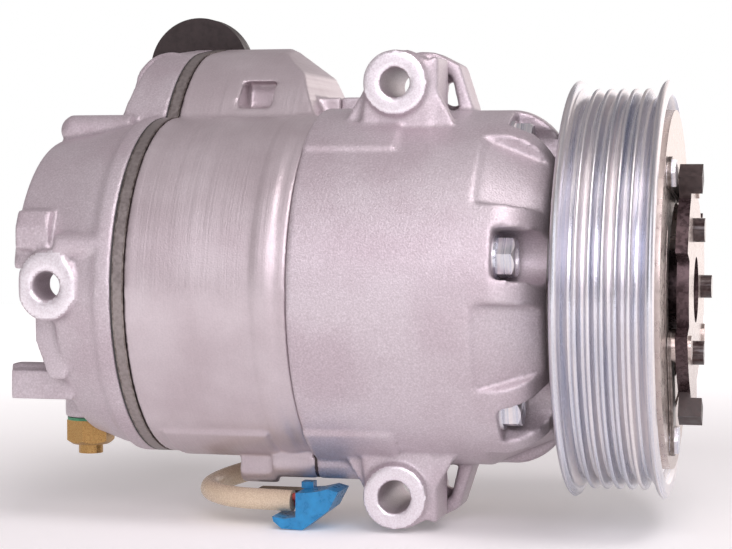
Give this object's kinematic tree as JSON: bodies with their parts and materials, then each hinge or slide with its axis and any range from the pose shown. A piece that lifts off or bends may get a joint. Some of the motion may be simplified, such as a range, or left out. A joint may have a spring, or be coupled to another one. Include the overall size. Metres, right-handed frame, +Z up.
{
  "type": "automotive air-conditioning compressor",
  "caption": "Variable-displacement swash-plate refrigerant compressor with three mounting ears, an electromagnetic clutch and a multi-rib belt pulley.",
  "frame": {"origin": "on the shaft axis at the middle of the belt face", "axes": "+X along the shaft towards the clutch, +Y towards the port face, +Z up"},
  "size_m": [0.1998, 0.1224, 0.154],
  "materials": {
    "cast_aluminium": "fine cast grain",
    "machined_aluminium": "turned satin",
    "gasket": "coated sheet",
    "spring_steel": "spring temper",
    "plate_steel": "ground",
    "rubber": "moulded",
    "green_rubber": "moulded",
    "zinc_steel": "zinc plated",
    "steel": "ground",
    "brass": "turned",
    "piston_aluminium": "ground, coated",
    "black_steel": "black coated",
    "coil_resin": "potted",
    "sleeve": "varnished sleeving",
    "wire": "insulated",
    "blue_plastic": "moulded",
    "black_plastic": "moulded"
  },
  "bodies": {
    "housing": {"rear_head": "cast_aluminium", "rear_head_gasket": "gasket", "discharge_reed_plate": "spring_steel", "valve_plate": "plate_steel", "suction_reed_plate": "spring_steel", "cylinder_block": "machined_aluminium", "front_housing": "cast_aluminium", "housing_o_ring": "rubber", "passage_seal": "rubber", "through_bolts": "zinc_steel", "bolt_washers": "zinc_steel", "locating_dowels": "steel", "relief_valve": "brass", "relief_valve_o_ring": "green_rubber", "control_valve": "brass", "control_valve_circlip": "spring_steel", "rear_radial_bearing": "steel", "rear_thrust_bearing": "steel", "front_radial_bearing": "steel", "front_thrust_bearing": "steel", "shaft_lip_seal": "rubber", "seal_circlip": "spring_steel", "clutch_coil_housing": "black_steel", "clutch_coil_winding": "coil_resin", "coil_circlip": "spring_steel", "pulley_bearing_inner_ring": "steel", "pulley_bearing_circlip": "spring_steel", "clutch_lead_sleeve": "sleeve", "clutch_lead_wires": "wire", "lead_connector": "blue_plastic", "connector_bracket": "black_steel"},
    "pulley": {"pulley": "zinc_steel", "pulley_bearing_outer_ring": "steel", "pulley_bearing_balls": "steel", "pulley_snap_ring": "spring_steel"},
    "shaft": {"drive_shaft": "steel", "rotor_plate": "steel", "destroke_spring": "spring_steel", "clutch_hub": "black_steel", "hub_rivets": "black_steel", "lobe_rivets": "steel", "leaf_springs": "spring_steel", "stop_blocks": "rubber", "hub_bolt": "steel", "hub_shims": "steel"},
    "armature": {"armature_plate": "steel", "armature_rivets": "zinc_steel"},
    "swash_sleeve": {"swash_sleeve": "brass"},
    "wobble": {"piston_shoes": "steel"},
    "swash_plate": {"swash_plate": "steel"},
    "transit_cap": {"transit_cap": "black_plastic"},
    "piston_1": {"piston_1": "piston_aluminium"},
    "piston_2": {"piston_2": "piston_aluminium"},
    "piston_3": {"piston_3": "piston_aluminium"},
    "piston_4": {"piston_4": "piston_aluminium"},
    "piston_5": {"piston_5": "piston_aluminium"},
    "piston_6": {"piston_6": "piston_aluminium"}
  },
  "joints": [
    {"name": "pulley_spin", "type": "hinge", "parent": "housing", "child": "pulley", "pos_m": [0, 0, 0], "axis": [1, 0, 0], "continuous": true},
    {"name": "shaft_spin", "type": "hinge", "parent": "housing", "child": "shaft", "pos_m": [0, 0, 0], "axis": [1, 0, 0], "continuous": true},
    {"name": "armature_pull_in", "type": "slide", "parent": "shaft", "child": "armature", "axis": [-1, 0, 0], "range_m": [0, 0.00048], "stiffness_N_per_m": 20000, "deforming": ["leaf_springs"]},
    {"name": "displacement", "type": "slide", "parent": "housing", "child": "swash_sleeve", "axis": [1, 0, 0], "range_m": [0, 0.0091], "stiffness_N_per_m": 1500, "deforming": ["destroke_spring"]},
    {"name": "swash_tilt", "type": "hinge", "parent": "swash_sleeve", "child": "wobble", "pos_m": [-0.072, 0, 0], "axis": [0, 1, 0], "range_deg": [0, 18]},
    {"name": "swash_spin", "type": "hinge", "parent": "wobble", "child": "swash_plate", "pos_m": [-0.072, 0, 0], "axis": [1, 0, 0], "continuous": true},
    {"name": "cap_pull_off", "type": "slide", "parent": "housing", "child": "transit_cap", "axis": [0, 1, 0], "range_m": [0, 0.05]},
    {"name": "piston_1_stroke", "type": "slide", "parent": "housing", "child": "piston_1", "axis": [1, 0, 0], "range_m": [0, 0.0185]},
    {"name": "piston_2_stroke", "type": "slide", "parent": "housing", "child": "piston_2", "axis": [1, 0, 0], "range_m": [0, 0.0185]},
    {"name": "piston_3_stroke", "type": "slide", "parent": "housing", "child": "piston_3", "axis": [1, 0, 0], "range_m": [0, 0.0185]},
    {"name": "piston_4_stroke", "type": "slide", "parent": "housing", "child": "piston_4", "axis": [1, 0, 0], "range_m": [0, 0.0185]},
    {"name": "piston_5_stroke", "type": "slide", "parent": "housing", "child": "piston_5", "axis": [1, 0, 0], "range_m": [0, 0.0185]},
    {"name": "piston_6_stroke", "type": "slide", "parent": "housing", "child": "piston_6", "axis": [1, 0, 0], "range_m": [0, 0.0185]}
  ],
  "couplings": [
    {"joint": "swash_tilt", "follows": "displacement", "rad_per_m": 34.462},
    {"joint": "swash_spin", "follows": "shaft_spin", "ratio": 1},
    {"joint": "piston_1_stroke", "follows": "displacement", "ratio": 1.6884},
    {"joint": "piston_2_stroke", "follows": "displacement", "ratio": 1.9724},
    {"joint": "piston_3_stroke", "follows": "displacement", "ratio": 1.284},
    {"joint": "piston_4_stroke", "follows": "displacement", "ratio": 0.31165},
    {"joint": "piston_5_stroke", "follows": "displacement", "ratio": 0.02763},
    {"joint": "piston_6_stroke", "follows": "displacement", "ratio": 0.71598}
  ]
}
